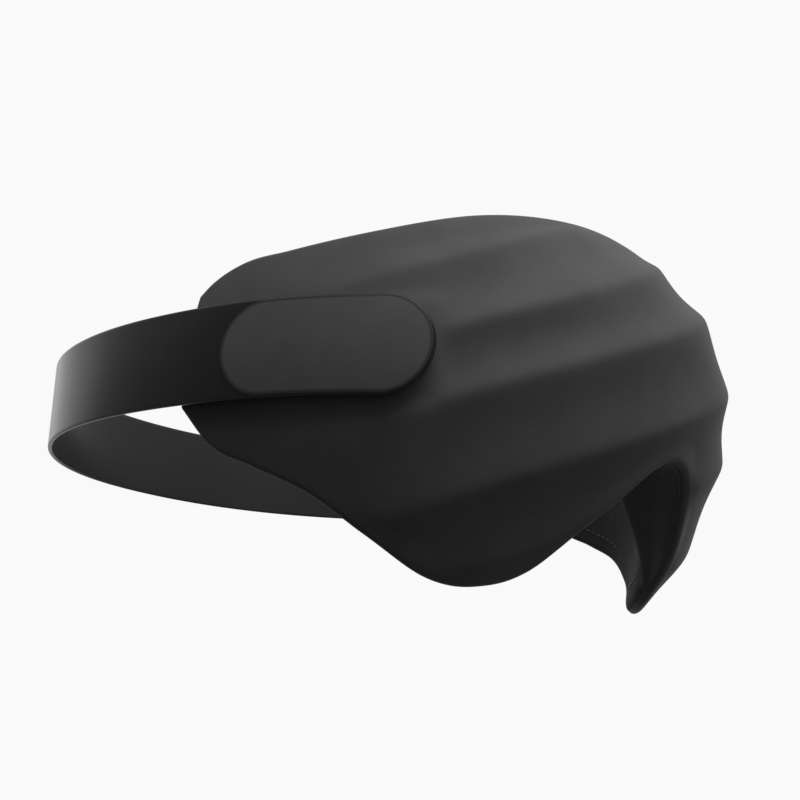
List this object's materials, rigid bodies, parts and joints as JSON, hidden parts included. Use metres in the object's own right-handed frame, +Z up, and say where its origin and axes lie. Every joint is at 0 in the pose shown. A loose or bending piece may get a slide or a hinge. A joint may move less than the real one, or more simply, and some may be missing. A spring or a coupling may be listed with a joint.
{
  "type": "contoured sleep eye mask",
  "caption": "Contoured foam sleep mask with moulded diagonal waves, eye cavities, a padded nose arch and an elastic head strap held by peel-open hook-and-loop ends with bare pill labels.",
  "frame": {"origin": "middle of the head loop at half the strap's width, where the wearer's head sits", "axes": "+Z up when worn, front of the mask toward -Y, +X toward the wearer's left, mirror plane of the outline at X = 0"},
  "size_m": [0.1792, 0.2093, 0.1007],
  "materials": {
    "cover_knit": "matte smooth knit bonded to foam",
    "foam": "open-cell memory foam",
    "lining": "soft brushed fabric",
    "baffle": "soft brushed fabric over thin padding",
    "strap": "satin woven elastic",
    "loops": "napped loop tape",
    "hooks": "moulded nylon hook tape",
    "label": "soft-touch patch with a fine pressed edge"
  },
  "bodies": {
    "mask": {"outer_cover": "cover_knit", "foam_core": "foam", "face_lining": "lining", "nose_baffle": "baffle", "strap_band": "strap", "loop_pad_right": "loops", "loop_pad_left": "loops", "hook_strip_right": "hooks", "hook_strip_left": "hooks"},
    "tab_right": {"strap_end_right": "strap", "hook_pad_right": "hooks", "label_patch_right": "label"},
    "tab_left": {"strap_end_left": "strap", "hook_pad_left": "hooks", "label_patch_left": "label"}
  },
  "joints": [
    {"name": "right_tab_peel", "type": "hinge", "parent": "mask", "child": "tab_right", "pos_m": [-0.08872, -0.01571, 0.00033], "axis": [-0.0918, -0.0146, -0.9957], "range_deg": [0, 110]},
    {"name": "left_tab_peel", "type": "hinge", "parent": "mask", "child": "tab_left", "pos_m": [0.08872, -0.01571, 0.00033], "axis": [-0.0918, 0.0146, 0.9957], "range_deg": [0, 110]}
  ]
}
